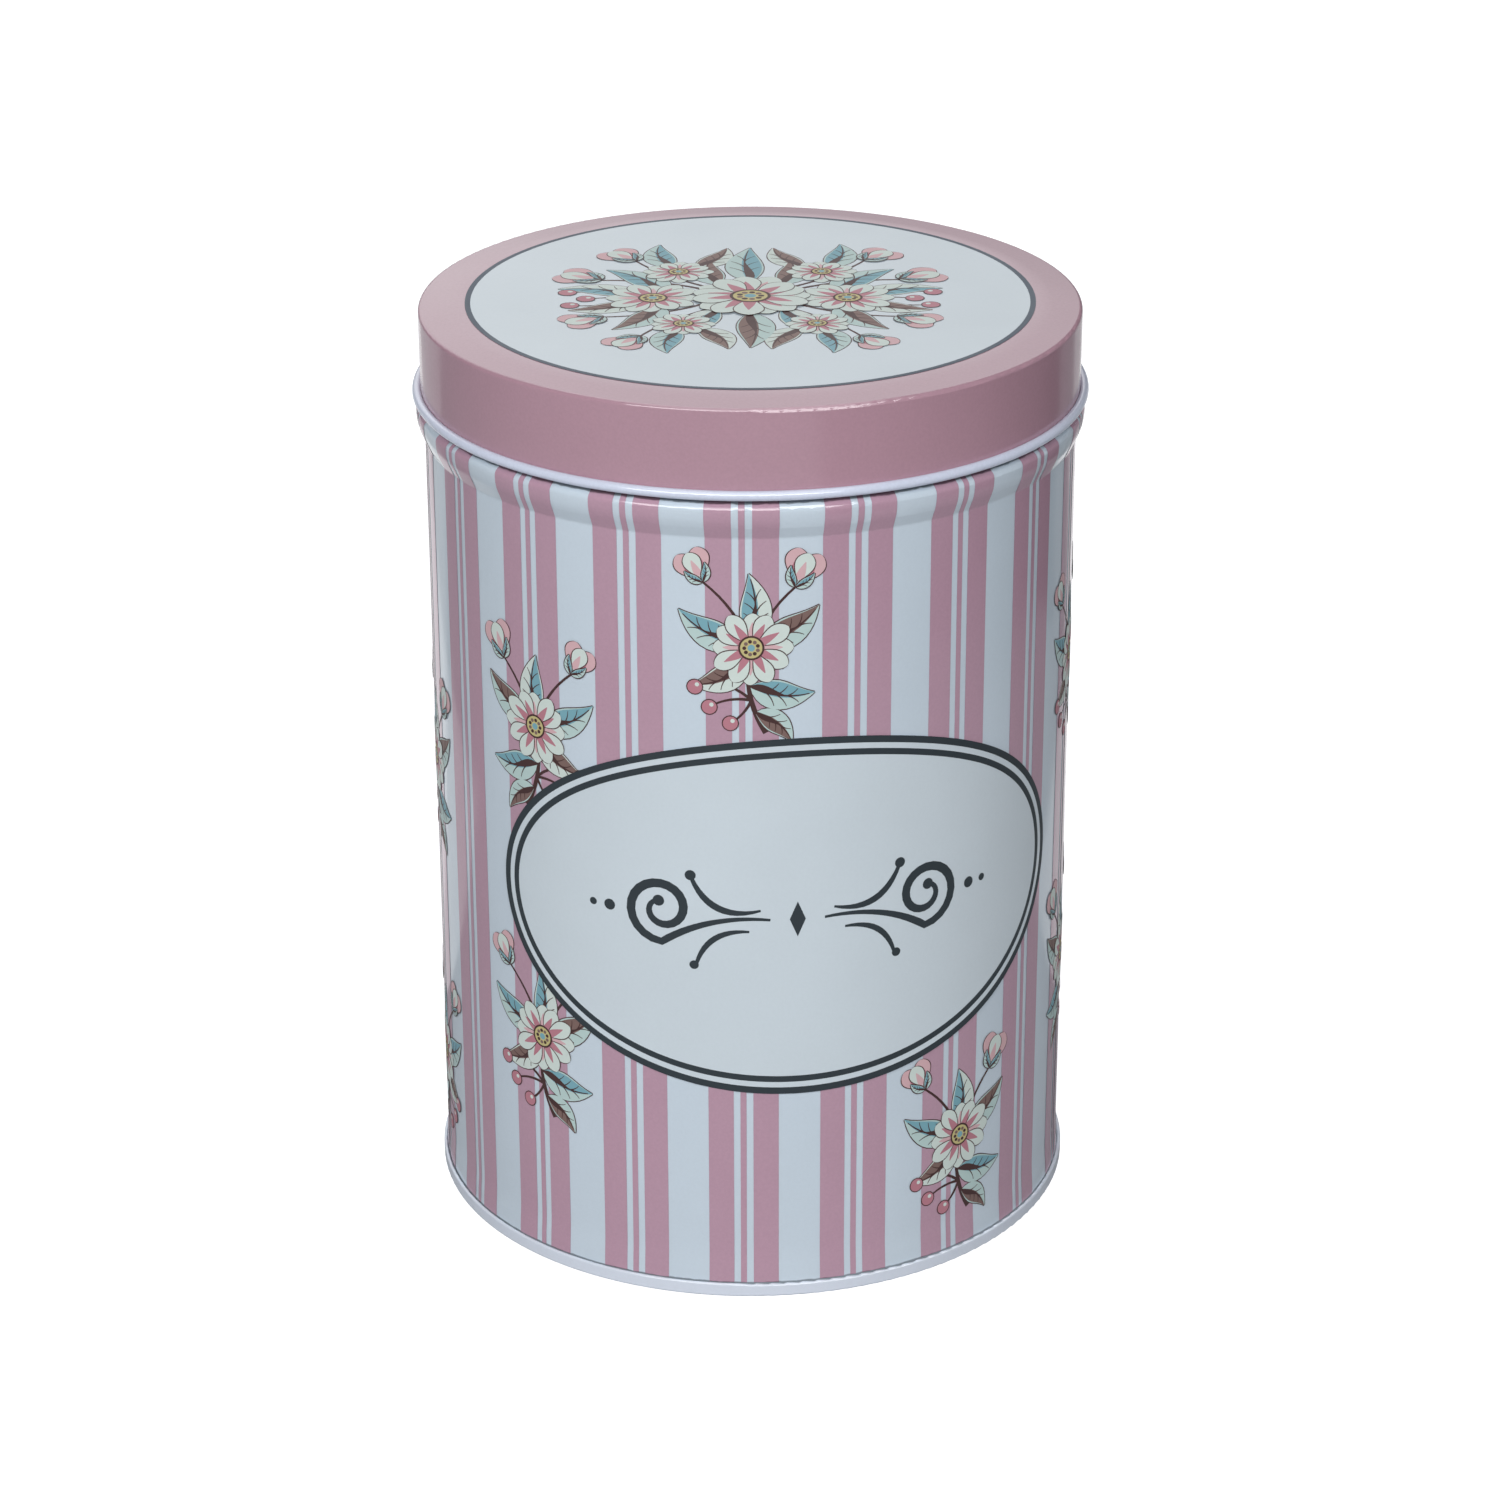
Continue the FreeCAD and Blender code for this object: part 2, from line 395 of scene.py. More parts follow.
def layFilm(name, shapes, surface, inks, body):
    # Each shape becomes a closed film: its top and underside shade as the sheet does, its edge is flat.
    points, faces, inkOf, normals, soft = [], [], [], [], []
    names = sorted({ink for ink, layer, shape in shapes})
    for ink, layer, (flat, flatFaces) in shapes:
        low = filmRise["first"] + layer * filmRise["step"]
        top = [surface(x, y, low + filmRise["thickness"]) for x, y in flat]
        under = [surface(x, y, low) for x, y in flat]
        start, count = len(points), len(flat)
        points += [point for point, normal in top] + [point for point, normal in under]
        edges = {(a, b) for face in flatFaces for a, b in zip(face, face[1:] + face[:1])}
        for face in flatFaces:
            faces.append([start + i for i in face])
            normals += [top[i][1] for i in face]
            faces.append([start + count + i for i in face[::-1]])
            normals += [-top[i][1] for i in face]
            soft += [True, True]
        for a, b in sorted(edges):
            if (b, a) not in edges:
                faces.append([start + b, start + a, start + count + a, start + count + b])
                normals += [Vector((0, 0, 0))] * 4
                soft.append(False)
        inkOf += [names.index(ink)] * (len(faces) - len(inkOf))
    mesh = bpy.data.meshes.new(name)
    mesh.from_pydata(points, [], faces)
    for ink in names:
        mesh.materials.append(inks[ink])
    mesh.polygons.foreach_set("material_index", inkOf)
    mesh.polygons.foreach_set("use_smooth", soft)
    mesh.normals_split_custom_set(normals)
    piece = bpy.data.objects.new(name, mesh)
    bpy.context.scene.collection.objects.link(piece)
    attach(piece, body)


# The wall's outside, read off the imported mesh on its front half: height, radius and lean of each ring
wallShape = {"seamHeight": 2.3, "straightRadius": 51.95, "slack": 0.01}


def readWall():
    rings = {}
    for vertex in sheets["body_shell"].data.vertices:
        spot = vertex.co / mm
        facesOut = spot.y < 0 and spot.xy.dot(vertex.normal.xy) > 0
        aboveSeam = spot.z > wallShape["seamHeight"] - wallShape["slack"]
        if facesOut and aboveSeam and spot.xy.length > wallShape["straightRadius"] - wallShape["slack"]:
            rings[round(spot.z, 2)] = spot.xy.length
    heights = sorted(rings)
    leans = [math.atan2(rings[a] - rings[b], b - a) for a, b in zip(heights, heights[1:])]
    leans = [leans[0]] + [(a + b) / 2 for a, b in zip(leans, leans[1:])] + [leans[-1]]
    return [(height, rings[height], lean) for height, lean in zip(heights, leans)]


wallRings = readWall()


def onWall(along, height, lift):
    # Point and facing on the wall, from the distance along it to the right of the front
    for low, high in zip(wallRings, wallRings[1:]):
        if height <= high[0]:
            break
    share = (height - low[0]) / (high[0] - low[0])
    radius = low[1] + (high[1] - low[1]) * share
    lean = low[2] + (high[2] - low[2]) * share
    turn = along / wallShape["straightRadius"]
    outward = Vector((math.sin(turn), -math.cos(turn), 0))
    facing = outward * math.cos(lean) + Vector((0, 0, math.sin(lean)))
    return (outward * radius + Vector((0, 0, height)) + facing * lift) * mm, facing


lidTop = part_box("lid")[1].z / mm


def onLid(right, back, lift):
    return Vector((right, back, lidTop + lift)) * mm, Vector((0, 0, 1))


# Wall stripes: a wide pink band, a hairline and another wide band, then a wide white one
stripes = {
    "repeat": 17.77,
    "start": 10.83,               # left edge of one group, to the right of the front
    "bands": [(0.0, 4.0), (5.06, 6.01), (7.11, 11.11)],
    "low": 2.36,                  # just above the bottom seam
    "high": 147.5,                # under the lid, just below the mouth's curl
    "seamMargin": 0.4,            # left bare on each side of the side seam's groove
    "widestStep": 1.4,            # the film is cut this often so that it bends round the tin
    "ink": "#bd98aa",
    "grainPitch": 0.45,           # drawn coarser than life
    "grain": 0.03,
    "cloudPitch": 18.0,
    "cloud": 0.02,
}


def layStripes():
    # The pink ink carries the painted crease shade lines too
    pink = printedInk("offset pink ink under satin varnish", stripes["ink"], stripes, True)
    halfRound = math.pi * wallShape["straightRadius"] - stripes["seamMargin"]
    heights = [ring[0] for ring in wallRings if stripes["low"] < ring[0] < stripes["high"]]
    heights = [stripes["low"]] + heights + [stripes["high"]]
    groups = math.ceil(2 * halfRound / stripes["repeat"])
    shapes = []
    for group in range(-groups, groups):
        for left, right in stripes["bands"]:
            left = max(stripes["start"] + group * stripes["repeat"] + left, -halfRound)
            right = min(stripes["start"] + group * stripes["repeat"] + right, halfRound)
            if left < right:
                columns = math.ceil((right - left) / stripes["widestStep"])
                edges = [[(along, height) for height in heights] for along in (left, right)]
                shapes.append(("pink", 0, patch(edges[0], edges[1], columns)))
    layFilm("wall_stripes", shapes, onWall, {"pink": pink}, "tin")


layStripes()
print("stripes laid")


# Label: a plain oval with a double line round it and a printer's flourish in the middle
label = {
    "centre": (7.1, 67.05),       # along the wall and up
    "halfWidth": 50.9,
    "halfHeight": 30.55,
    "lines": [(0.0, 1.15), (2.1, 3.15)],   # each line's outer and inner edge, in from the rim
    "rimSteps": 240,
    "ground": "#d4dfe6",
    "line": "#2d373d",
    "grainPitch": 0.5,
    "grain": 0.01,
    "cloudPitch": 18.0,
    "cloud": 0.02,
    "layer": 18,                  # above the sprigs, so that it cuts across them
}
flourish = {                      # its right half, from the label's middle
    "size": 1.25,
    "lead": ((3.4, 0.0), (17.0, -3.6), 0.10),      # from, to and bulge
    "spiralCentre": (17.0, 1.0),
    "spiralSteps": 32,
    "spiralStart": -90,           # degrees
    "spiralTurn": 520,
    "spiralReach": 4.6,
    "spiralShrink": 3.5,
    "scrollWidths": (0.35, 0.55, 0.75),            # start, end and swell between them
    "tendrils": [((4.6, 1.3), (13.2, 5.6), -0.22, (0.3, 0.5, 0.5)),
                 ((6.0, -1.6), (12.6, -6.2), 0.20, (0.3, 0.45, 0.4))],
    "spiralDot": 0.75,
    "dots": [(13.3, 5.9, 0.7), (12.9, -6.4, 0.6), (23.9, 0.4, 0.75), (26.2, 0.4, 0.5)],
    "lozenge": (1.0, 2.4),        # half width and half height, in the middle
}


def drawFlourish():
    # A scroll to the right that runs into a spiral, to be mirrored
    scroll = bow(*flourish["lead"], 14)
    x, y = flourish["spiralCentre"]
    steps = flourish["spiralSteps"]
    for k in range(1, steps + 1):
        turn = math.radians(flourish["spiralStart"] + flourish["spiralTurn"] * k / steps)
        reach = flourish["spiralReach"] - flourish["spiralShrink"] * k / steps
        scroll.append(Vector((x + reach * math.cos(turn), y + reach * math.sin(turn))))
    shapes = [("slate", 2, stroke(scroll, *flourish["scrollWidths"]))]
    for start, end, bulge, widths in flourish["tendrils"]:
        shapes.append(("slate", 2, stroke(bow(start, end, bulge), *widths)))
    for x, y, radius in [(scroll[-1].x, scroll[-1].y, flourish["spiralDot"])] + flourish["dots"]:
        shapes.append(("slate", 3, ovalPatch((x, y), radius, radius, 8)))
    return shapes


def layLabel():
    inks = {"ground": printedInk("white label ground under satin varnish", label["ground"], label),
            "slate": plainInk("slate line ink", label["line"])}
    x, y = label["centre"]
    shapes = [("ground", label["layer"],
               ovalPatch((x, y), label["halfWidth"], label["halfHeight"], label["rimSteps"] // 2))]
    for outer, inner in label["lines"]:
        rims = [oval((x, y), label["halfWidth"] - inset, label["halfHeight"] - inset, label["rimSteps"])
                for inset in (outer, inner)]
        shapes.append(("slate", label["layer"] + 1, patch(rims[0], rims[1])))
    scroll = drawFlourish()
    wide, tall = flourish["lozenge"]
    lozenge = patch([(0, tall), (wide, 0), (0, -tall)], [(0, tall), (-wide, 0), (0, -tall)])
    middle = scroll + mirrored(scroll) + [("slate", 2, lozenge)]
    shapes += placed(raised(middle, label["layer"]), x, y, 0, flourish["size"])
    layFilm("label", shapes, onWall, inks, "tin")


layLabel()
print("label laid")


# Small flowers, each drawn in layers of ink: outline, body, shade, then fine lines.
# Twigs and leaves take layers 0 to 4, flowers, buds and berries 4 to 15. What crosses on one layer
# differs a little in height, because films in one plane show dark specks.
artInks = {
    "cream": plainInk("cream flower ink", "#d6e2dc"),
    "mint": plainInk("mint leaf ink", "#bed5d2"),
    "teal": plainInk("teal leaf ink", "#7cadba"),
    "umber": plainInk("umber line ink", "#472c2b"),
    "taupe": plainInk("taupe shade ink", "#7f6660"),
    "madder": plainInk("madder flower ink", "#bd7f8c"),
    "blush": plainInk("blush flower ink", "#dab3b8"),
    "ochre": plainInk("ochre flower ink", "#c9bd84"),
}
outline = 0.17   # width of the dark edge round each leaf and petal


# Leaf: one half in shade, with a dark wedge beside the spine from the root up
leafShape = {
    "steps": 12,
    "skew": 0.8,                  # under 1 puts the widest place nearer the root
    "shadeEdges": (0.15, -0.90),  # shares of the half width
    "wedgeEdge": -0.85,
    "wedgeSteps": 7,
    "midrib": (0.50, 0.16),       # widths at the root and at the tip
    "vein": (0.24, 0.10),
    "veinSteps": (3, 5, 7),       # where the side veins start
    "veinReach": 0.78,
    "veinBulge": -0.08,
    "thinnest": 0.3,              # a short leaf keeps this share of those widths,
    "thinLength": 14.0,           # and more by its length over this one
}


def leaf(length, width, bulge, shade="teal", body="mint"):
    steps, wedge = leafShape["steps"], leafShape["wedgeSteps"]
    spine = bow((0, 0), (length, 0), bulge, steps)
    half = [width / 2 * math.sin(math.pi * (k / steps) ** leafShape["skew"]) for k in range(steps + 1)]
    dark = [leafShape["wedgeEdge"] * h * max(0.0, 1 - k / wedge) for k, h in enumerate(half)]
    wedgeEdges = [beside(spine, edge)[:wedge + 1] for edge in ([0.0] * (steps + 1), dark)]
    shadeEdges = [beside(spine, [share * h for h in half]) for share in leafShape["shadeEdges"]]
    thin = min(1.0, leafShape["thinnest"] + length / leafShape["thinLength"])
    midrib, sideVein = [[w * thin for w in leafShape[key]] for key in ("midrib", "vein")]
    shapes = [
        ("umber", 0, patch(beside(spine, [h + outline for h in half]),
                           beside(spine, [-h - outline for h in half]), 3)),
        (body, 1, patch(beside(spine, half), beside(spine, [-h for h in half]), 3)),
        (shade, 2, patch(shadeEdges[0], shadeEdges[1], 2)),
        ("umber", 3, patch(wedgeEdges[0], wedgeEdges[1])),
        ("umber", 3.2, stroke(spine[:-1], *midrib)),
    ]
    for k in leafShape["veinSteps"]:
        for side in (1, -1):
            tip = Vector(beside(spine, [side * leafShape["veinReach"] * h for h in half])[k + 2])
            vein = stroke(bow(spine[k], tip, leafShape["veinBulge"] * side, 4), *sideVein)
            shapes.append(("umber", 3.30 + 0.04 * side, vein))
    return shapes


# Petal: narrow at the flower's middle and round at its tip, with a streak along it
petalShape = {
    "steps": 12,
    "crowding": 1.7,              # over 1 puts the steps closer together at the tip
    "start": 0.16,                # share of the length
    "skew": 1.5,                  # over 1 puts the widest place nearer the tip
    "fullness": 0.6,              # under 1 makes the sides fuller
    "narrowest": 0.02,
    "streak": (0.20, 0.74),       # from and to, shares of the length
    "streakWidth": 0.50,          # share of the width
    "streakSwell": 0.10,
    "streakTip": 0.12,
}


def petal(length, width, body, streak):
    steps, start = petalShape["steps"], petalShape["start"]
    shares = [1 - (1 - k / steps) ** petalShape["crowding"] for k in range(steps + 1)]
    spine = [Vector((length * (start + (1 - start) * t), 0)) for t in shares]
    half = [width / 2 * math.sin(math.pi * t ** petalShape["skew"]) ** petalShape["fullness"]
            + petalShape["narrowest"] for t in shares]
    low, high = petalShape["streak"]
    vein = bow((low * length, 0), (high * length, 0), 0.0, 6)
    return [
        ("umber", 0, patch(beside(spine, [h + outline for h in half]),
                           beside(spine, [-h - outline for h in half]), 2)),
        (body, 1, patch(beside(spine, half), beside(spine, [-h for h in half]), 2)),
        (streak, 2, stroke(vein, petalShape["streakWidth"] * width, petalShape["streakTip"],
                           petalShape["streakSwell"] * width)),
    ]


# Daisy: a ring of petals round a dotted eye. Sizes are shares of its radius.
daisyShape = {
    "petalLengths": (0.90, 1.06),
    "petalWidth": 0.46,
    "sway": 4,                    # degrees that a petal may lean to either side
    "eyeEdge": 0.32,
    "eye": 0.27,
    "dots": 9,
    "dotRing": 0.17,
    "dot": 0.05,
    "heart": 0.09,
}


def daisy(radius, count, seed):
    luck = random.Random(seed)
    shapes = []
    for k in range(count):
        length = radius * luck.uniform(*daisyShape["petalLengths"])
        one = petal(length, radius * daisyShape["petalWidth"], "cream", "madder" if k % 3 else "blush")
        turn = 360 * k / count + luck.uniform(-daisyShape["sway"], daisyShape["sway"])
        shapes += raised(placed(one, 0, 0, turn), 4 + 3 * (k % 3))   # no two on one level overlap
    edge, eye, dot, heart = [radius * daisyShape[key] for key in ("eyeEdge", "eye", "dot", "heart")]
    shapes.append(("umber", 13, ovalPatch((0, 0), edge, edge, 14, 2)))
    shapes.append(("ochre", 14, ovalPatch((0, 0), eye, eye, 14, 2)))
    ring = oval((0, 0), radius * daisyShape["dotRing"], radius * daisyShape["dotRing"], daisyShape["dots"])
    for k, spot in enumerate(ring[:-1]):
        shapes.append(("taupe" if k % 2 else "umber", 15, ovalPatch(spot, dot, dot, 4)))
    shapes.append(("teal", 15, ovalPatch((0, 0), heart, heart, 6)))
    return shapes


# Tulip bud: two lobes, a petal in front of them and two sepals. Sizes are shares of its length.
tulipShape = {
    "lobeWidth": 0.56,
    "lobeAside": 0.10,
    "lobeLean": 12,               # degrees
    "front": (0.92, 0.50),        # length and width
    "sepal": (0.60, 0.24),
    "sepalBulge": 0.12,
    "sepalBack": -0.02,
    "sepalLean": 32,
}


def tulip(length):
    shapes = []
    for side in (1, -1):
        lobe = petal(length, tulipShape["lobeWidth"] * length, "blush", "madder")
        lobe = placed(lobe, 0, tulipShape["lobeAside"] * length * side, tulipShape["lobeLean"] * side)
        shapes += raised(lobe, 5 + 0.1 * side)
    shapes += raised(petal(*[share * length for share in tulipShape["front"]], "cream", "blush"), 8)
    for side in (1, -1):
        sepal = leaf(*[share * length for share in tulipShape["sepal"]], tulipShape["sepalBulge"])
        sepal = placed(sepal, tulipShape["sepalBack"] * length, 0, tulipShape["sepalLean"] * side, 1, side)
        shapes += raised(sepal, 11 + 0.1 * side)
    return shapes


def berry(radius):
    # With a small shine to its upper left
    return [("umber", 5, ovalPatch((0, 0), radius + outline, radius + outline, 8)),
            ("madder", 6, ovalPatch((0, 0), radius, radius, 8)),
            ("cream", 7, ovalPatch((-0.3 * radius, 0.35 * radius), 0.3 * radius, 0.3 * radius, 5))]


def twig(start, end, bulge, thick):
    # Thinner towards its end
    return [("umber", 0, stroke(bow(start, end, bulge, 10), thick, 0.6 * thick))]


def buds(rows):
    # Each on its own twig: the twig's start, end, bulge and thickness, the bud's length, place and angle
    shapes = []
    for start, end, bulge, thick, length, spot, angle in rows:
        shapes += twig(start, end, bulge, thick) + placed(tulip(length), spot[0], spot[1], angle)
    return shapes


def berries(start, thick, radius, rows):
    # A bunch on twigs from one place: each twig's end and bulge
    shapes = []
    for end, bulge in rows:
        shapes += raised(twig(start, end, bulge, thick), -0.2) + placed(berry(radius), end[0], end[1])
    return shapes


def leaves(rise, step, rows):
    # Each a little above the last: length, width, bulge, shade, body, place, angle and flip
    shapes = []
    for k, (length, width, bulge, shade, body, spot, angle, flip) in enumerate(rows):
        one = placed(leaf(length, width, bulge, shade, body), spot[0], spot[1], angle, 1, flip)
        shapes += raised(one, rise + step * k)
    return shapes


def sprig():
    # A daisy in a ring of leaves, with two buds above and a bunch of berries below
    shapes = twig((-2.2, -14.0), (0.0, 0.0), -0.10, 0.9)
    shapes += buds([
        ((-0.6, -4.0), (-6.6, 9.6), -0.12, 0.6, 6.0, (-6.7, 9.8), 112),
        ((-0.4, -3.0), (7.2, 10.4), 0.10, 0.6, 5.4, (7.3, 10.6), 62),
    ])
    shapes += berries((0.0, -8.6), 0.5, 1.15,
                      [((6.4, -9.8), 0.10), ((3.2, -12.4), -0.08), ((8.6, -6.6), 0.16)])
    shapes += leaves(0.0, 0.1, [
        (10.0, 4.8, 0.10, "teal", "mint", (0.2, -6.2), 188, 1),
        (7.6, 3.6, 0.12, "taupe", "mint", (-0.6, -10.6), 222, -1),
        (9.6, 4.4, 0.10, "taupe", "cream", (0.4, -2.4), -24, -1),
        (11.0, 4.8, 0.08, "teal", "cream", (0.0, 1.0), 88, 1),
        (11.4, 4.8, 0.10, "teal", "mint", (1.0, 0.6), 28, -1),
        (11.0, 4.8, 0.10, "taupe", "mint", (-1.0, 0.8), 148, 1),
    ])
    return shapes + daisy(6.2, 12, 3)


# Sprigs round the wall, in nine columns that step up by a third of the spacing each time
sprigs = {
    "columns": 9,
    "low": 22.6,
    "spacing": 54.0,
    "rows": 2,
}


def laySprigs():
    drawn = raised(sprig(), 1)
    columnWidth = 2 * math.pi * wallShape["straightRadius"] / sprigs["columns"]
    x, y = label["centre"]
    count = 0
    for column in range(sprigs["columns"]):
        for row in range(sprigs["rows"]):
            along = (column - sprigs["columns"] // 2) * columnWidth
            height = sprigs["low"] + (row + (column + 1) % 3 / 3) * sprigs["spacing"]
            if ((along - x) / label["halfWidth"]) ** 2 + ((height - y) / label["halfHeight"]) ** 2 < 1:
                continue          # the label covers it
            count += 1
            shapes = placed(mirrored(drawn) if (column + row) % 2 else drawn, along, height)
            layFilm("sprig_%02d" % count, shapes, onWall, artInks, "tin")


laySprigs()
print("sprigs laid")


# Lid top: a dark ring round a pale disc, with a posy in the middle
lidPrint = {
    "ringRadius": 44.65,          # middle of the line
    "ringWidth": 0.87,
    "rimSteps": 240,
    "disc": "#c5d3dc",
    "ring": "#4c5866",
    "grainPitch": 0.5,
    "grain": 0.01,
    "cloudPitch": 18.0,
    "cloud": 0.02,
}


def posy():
    # A mirrored garland: three daisies in a row and four small ones, with buds and leaves fanned out
    side = buds([
        ((2, -1), (24, 9.0), 0.12, 0.9, 7.6, (24.0, 9.2), 26),
        ((6, -2), (23, -10.0), -0.10, 0.8, 7.0, (23.0, -10.2), -28),
        ((5, 4), (18.5, 19.3), -0.06, 0.7, 7.0, (18.5, 19.5), 48),
        ((4, -4), (17.0, -19.6), 0.06, 0.7, 6.6, (17.0, -19.8), -52),
    ])
    side += berries((15, -1), 0.6, 1.4,
                    [((26.0, -0.8), 0.08), ((29.0, 2.4), 0.14), ((28.4, -4.2), -0.08)])
    side += leaves(0.06, 0.045, [
        (15.0, 6.0, 0.10, "teal", "mint", (13.5, 3.0), 50, 1),
        (14.0, 5.6, 0.10, "taupe", "mint", (14.0, -4.5), -58, -1),
        (14.0, 5.4, 0.10, "teal", "cream", (17.0, 1.0), 14, 1),
        (12.5, 5.0, 0.10, "taupe", "cream", (17.0, -2.0), -22, -1),
        (13.0, 5.4, 0.10, "teal", "cream", (5.0, -6.0), -78, 1),
        (13.0, 5.4, 0.10, "taupe", "mint", (5.0, 6.5), 84, -1),
        (13.0, 5.2, 0.10, "teal", "mint", (12.5, 15.5), 80, -1),
        (12.0, 4.8, 0.10, "taupe", "cream", (9.0, 15.5), 116, 1),
        (12.0, 5.0, 0.10, "teal", "mint", (11.0, -16.0), -82, 1),
        (11.5, 4.8, 0.10, "taupe", "cream", (8.0, -15.5), -114, -1),
    ])
    for radius, seed, x, y in ((7.4, 5, 15.4, -0.6), (5.6, 6, 11.5, 13.2), (5.2, 7, 10.4, -13.6)):
        side += placed(daisy(radius, 12, seed), x, y)
    shapes = side + raised(mirrored(side), 0.01)
    shapes += leaves(0.60, 0.045, [
        (18.5, 6.2, 0.05, "teal", "mint", (0, 8), 90, 1),
        (17.5, 6.0, 0.05, "taupe", "mint", (0, -8), -90, 1),
    ])
    return shapes + raised(daisy(10.2, 15, 8), 10)


def layLidPrint():
    inks = {"disc": printedInk("pale disc under satin varnish", lidPrint["disc"], lidPrint),
            "ring": plainInk("slate ring ink", lidPrint["ring"])}
    outside = lidPrint["ringRadius"] + lidPrint["ringWidth"] / 2
    inside = lidPrint["ringRadius"] - lidPrint["ringWidth"] / 2
    rims = [oval((0, 0), reach, reach, lidPrint["rimSteps"]) for reach in (outside, inside)]
    shapes = [("disc", 0, ovalPatch((0, 0), inside, inside, lidPrint["rimSteps"] // 2)),
              ("ring", 0, patch(rims[0], rims[1]))]
    layFilm("lid_disc", shapes, onLid, inks, "lid")
    layFilm("lid_posy", raised(posy(), 1), onLid, artInks, "lid")


layLidPrint()
print("lid print laid")


# Camera at the photograph's place, in front and above
camera = {
    "lens": 102.77,
    "sensor": 36.0,
    "away": 648.8,        # in front of the tin's axis
    "height": 357.56,
    "aside": -0.23,       # to the right of the axis
    "pitch": 23.684,      # degrees down
    "roll": -0.15,
}
eye = bpy.data.objects.new("camera", bpy.data.cameras.new("camera"))
eye.data.lens = camera["lens"]
eye.data.sensor_width = camera["sensor"]
aim = Euler((math.radians(90 - camera["pitch"]), 0, 0)).to_matrix().to_4x4()
roll = Matrix.Rotation(math.radians(camera["roll"]), 4, "Z")
place = Vector((camera["aside"], -camera["away"], camera["height"])) * mm
eye.matrix_world = Matrix.Translation(place) @ aim @ roll
bpy.context.scene.collection.objects.link(eye)
bpy.context.scene.camera = eye
bpy.context.scene.view_settings.view_transform = "Standard"
print("camera set")


# Studio: a pale floor that runs far back, a wide soft light in front and two weaker ones behind.
# Two bright cards and a black flag on the floor, a panel overhead and a bright patch behind show in the
# varnish. Places and sizes are in metres.
studio = {
    "aim": (0, 0, 0.08),          # middle of the tin, which the lights face
    "floorHalf": 4.0,
    "floorRough": 0.9,
    "floor": "#a6a8ab",
    "floorGlow": 0.90,            # brings the floor up to paper white, and lights nothing else
    "keyPlace": (-0.256, -2.087, 1.608),
    "keySize": (3.2, 1.2),
    "keyPower": 68.0,
    "cardPlace": (-0.138, 1.000, 0.0006),
    "cardSize": (1.4, 1.4),
    "cardTurn": 53.0,             # degrees, so that one corner lies under the tin
    "cardPower": 1.9,
    "runnerPlace": (-0.02, 0.65, 0.0009),    # a narrow card straight behind, for the tin's two edges
    "runnerSize": (0.34, 1.2),
    "runnerPower": 0.55,
    "fillPlaces": [(-1.20, 2.08, 0.42), (1.08, 2.14, 0.42)],
    "fillSize": (1.4, 0.7),
    "fillPowers": (15.0, 15.0),
    "panelPlace": (0, 0.05, 1.35),           # overhead, only to shine in the rounded edges
    "panelSize": (0.9, 2.2),
    "panelPower": 10.0,
    "flagReach": (0.28, 0.80),               # black felt on the floor, seen only in the varnish
    "flagTurn": (22, 128),                   # degrees from the front to the right
    "flagStep": 2,
    "flagHeight": 0.0005,
    "flagRough": 1.0,
    "flag": "#0a0a0b",
    "around": "#ccd0d6",
    "aroundStrength": 0.17,
    "band": "#ffffff",            # bright patch behind the tin, which the lid's top reflects
    "bandStrength": 1.36,
    "bandWay": (-0.184, 0.864, 0.470),
    "bandEdge": 0.85,             # cosines of the patch's outer and inner angles
    "bandCore": 0.99,
}


def softbox(name, place, size, power, turn=None):
    if turn is None:
        turn = (Vector(studio["aim"]) - Vector(place)).to_track_quat("-Z", "Y").to_euler()
    light = bpy.data.objects.new(name, bpy.data.lights.new(name, "AREA"))
    light.data.shape = "RECTANGLE"
    light.data.size, light.data.size_y = size
    light.data.energy = power
    light.location = place
    light.rotation_euler = turn
    light.visible_camera = False
    bpy.context.scene.collection.objects.link(light)
    return light


def layStage(name, points, faces, finishName, hexColour, rough, glow=0.0):
    mesh = bpy.data.meshes.new(name)
    mesh.from_pydata(points, [], faces)
    piece = bpy.data.objects.new(name, mesh)
    bpy.context.scene.collection.objects.link(piece)
    finish, tree, shader = newFinish(finishName)
    shader.inputs["Base Color"].default_value = toLinear(hexColour)
    shader.inputs["Roughness"].default_value = rough
    shader.inputs["Emission Color"].default_value = (1, 1, 1, 1)
    shader.inputs["Emission Strength"].default_value = glow
    mesh.materials.append(finish)
    return piece


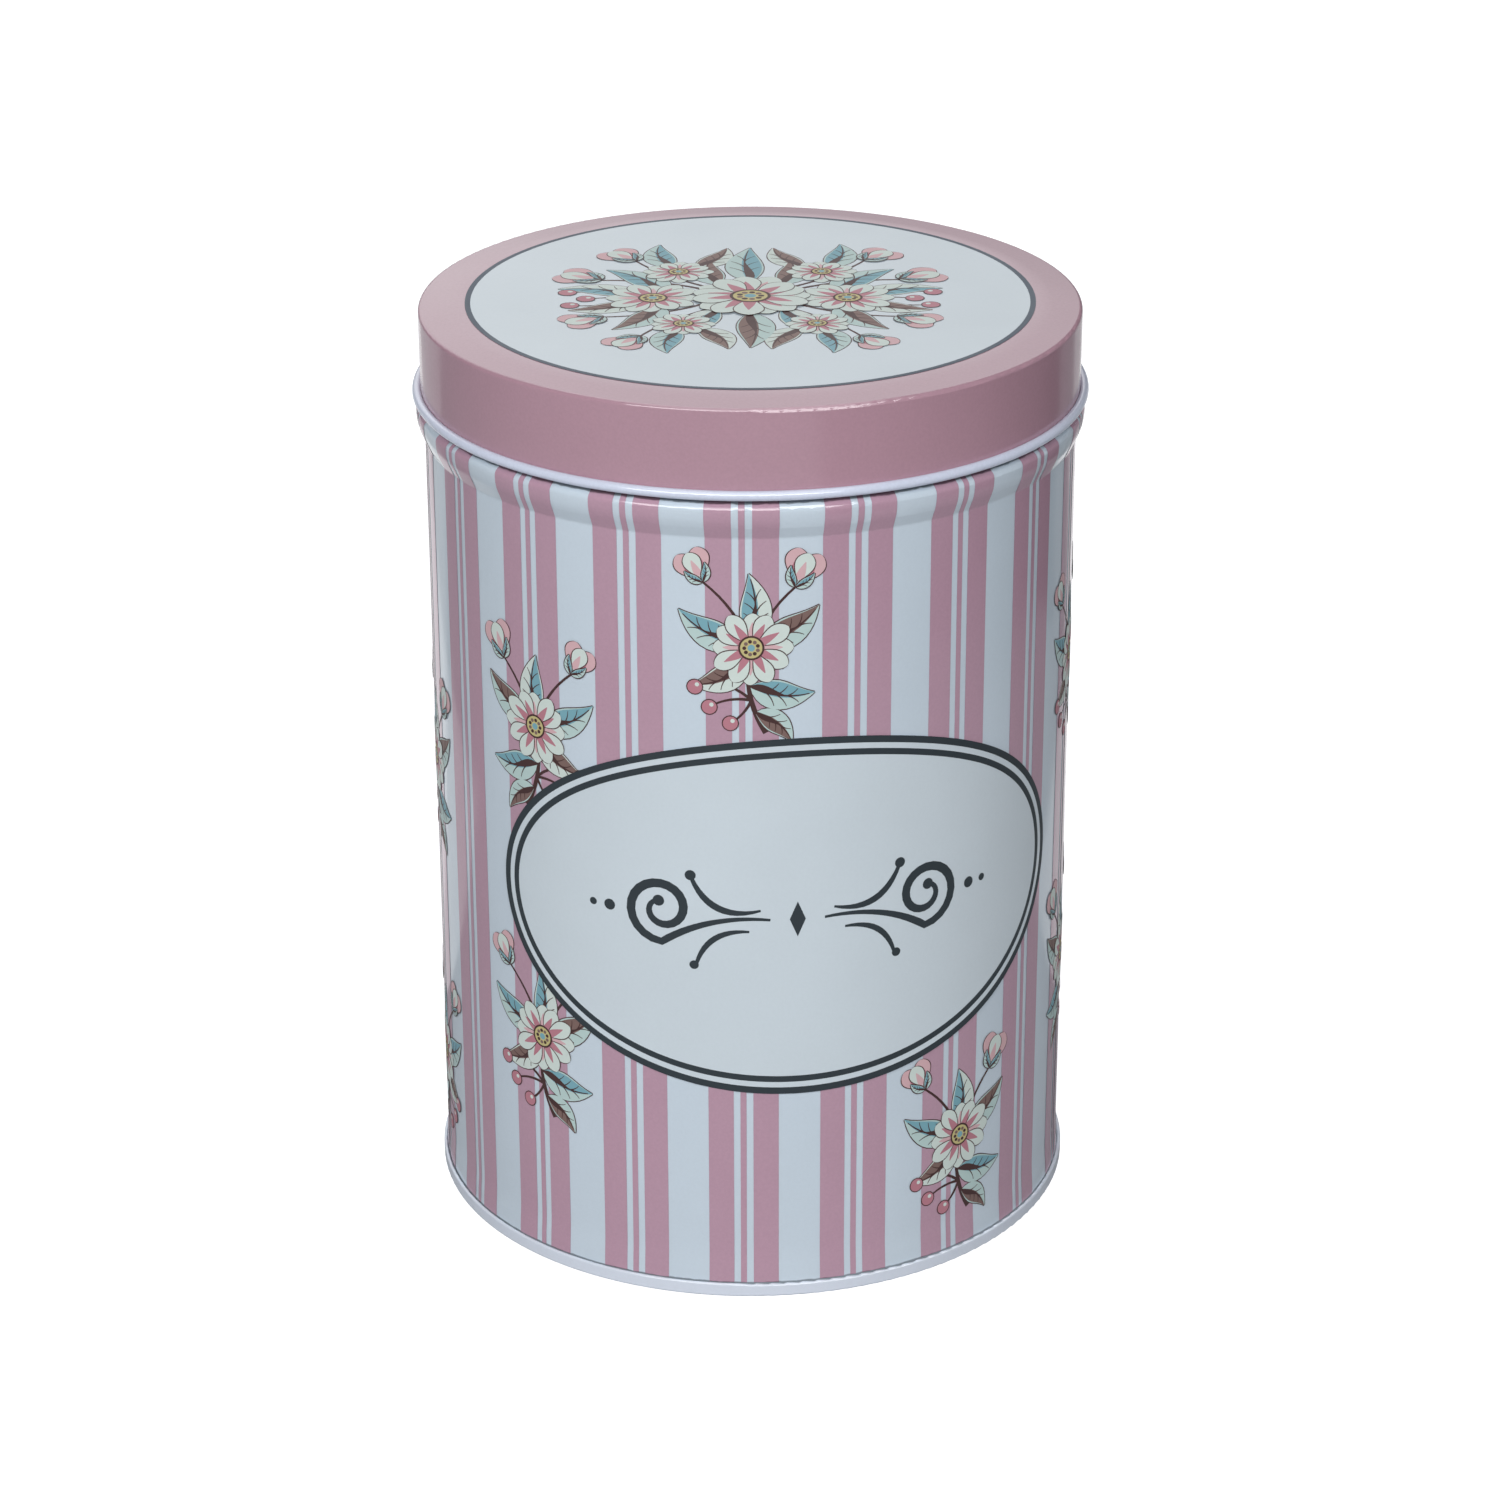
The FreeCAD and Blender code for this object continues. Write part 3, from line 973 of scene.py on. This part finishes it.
def layFloor():
    half = studio["floorHalf"]
    corners = [(-half, -half, 0), (half, -half, 0), (half, half, 0), (-half, half, 0)]
    floor = layStage("floor", corners, [(0, 1, 2, 3)], "white paper sweep",
                     studio["floor"], studio["floorRough"], studio["floorGlow"])
    glowsOn = bpy.data.collections.new("lit by the floor's glow")
    glowsOn.objects.link(floor)
    floor.light_linking.receiver_collection = glowsOn


def layFlag():
    first, last = studio["flagTurn"]
    turns = [math.radians(d) for d in range(first, last + 1, studio["flagStep"])]
    points = [(reach * math.sin(turn), -reach * math.cos(turn), studio["flagHeight"])
              for turn in turns for reach in studio["flagReach"]]
    faces = [(k, k + 1, k + 3, k + 2) for k in range(0, len(points) - 2, 2)]
    flag = layStage("black flag", points, faces, "black felt", studio["flag"], studio["flagRough"])
    flag.visible_camera = False      # it only keeps the floor's shine off the right of the lid
    flag.visible_diffuse = False
    flag.visible_shadow = False


def setLights():
    softbox("key", studio["keyPlace"], studio["keySize"], studio["keyPower"])
    for side, place, power in zip(("left", "right"), studio["fillPlaces"], studio["fillPowers"]):
        softbox("fill " + side, place, studio["fillSize"], power).visible_glossy = False
    softbox("card behind", studio["cardPlace"], studio["cardSize"], studio["cardPower"],
            Euler((math.pi, 0, math.radians(studio["cardTurn"]))))
    softbox("runner behind", studio["runnerPlace"], studio["runnerSize"], studio["runnerPower"],
            Euler((math.pi, 0, 0)))
    softbox("panel overhead", studio["panelPlace"], studio["panelSize"], studio["panelPower"],
            Euler((0, 0, 0))).visible_diffuse = False
    world = bpy.data.worlds.new("studio")
    bpy.context.scene.world = world
    world.use_nodes = True
    tree = world.node_tree
    sky = addNode(tree, "TexCoord").outputs["Generated"]
    toBand = addNode(tree, "VectorMath", {"operation": "DOT_PRODUCT", 1: studio["bandWay"]}, {0: sky})
    band = addNode(tree, "MapRange", {"interpolation_type": "SMOOTHSTEP", "From Min": studio["bandEdge"],
                                      "From Max": studio["bandCore"]}, {"Value": toBand.outputs["Value"]})
    colours = {"data_type": "RGBA",
               6: [c * studio["aroundStrength"] for c in toLinear(studio["around"])],
               7: [c * studio["bandStrength"] for c in toLinear(studio["band"])]}
    colour = addNode(tree, "Mix", colours, {"Factor": band.outputs["Result"]})
    tree.links.new(colour.outputs[2], tree.nodes["Background"].inputs["Color"])


layFloor()
layFlag()
setLights()
print("studio set")
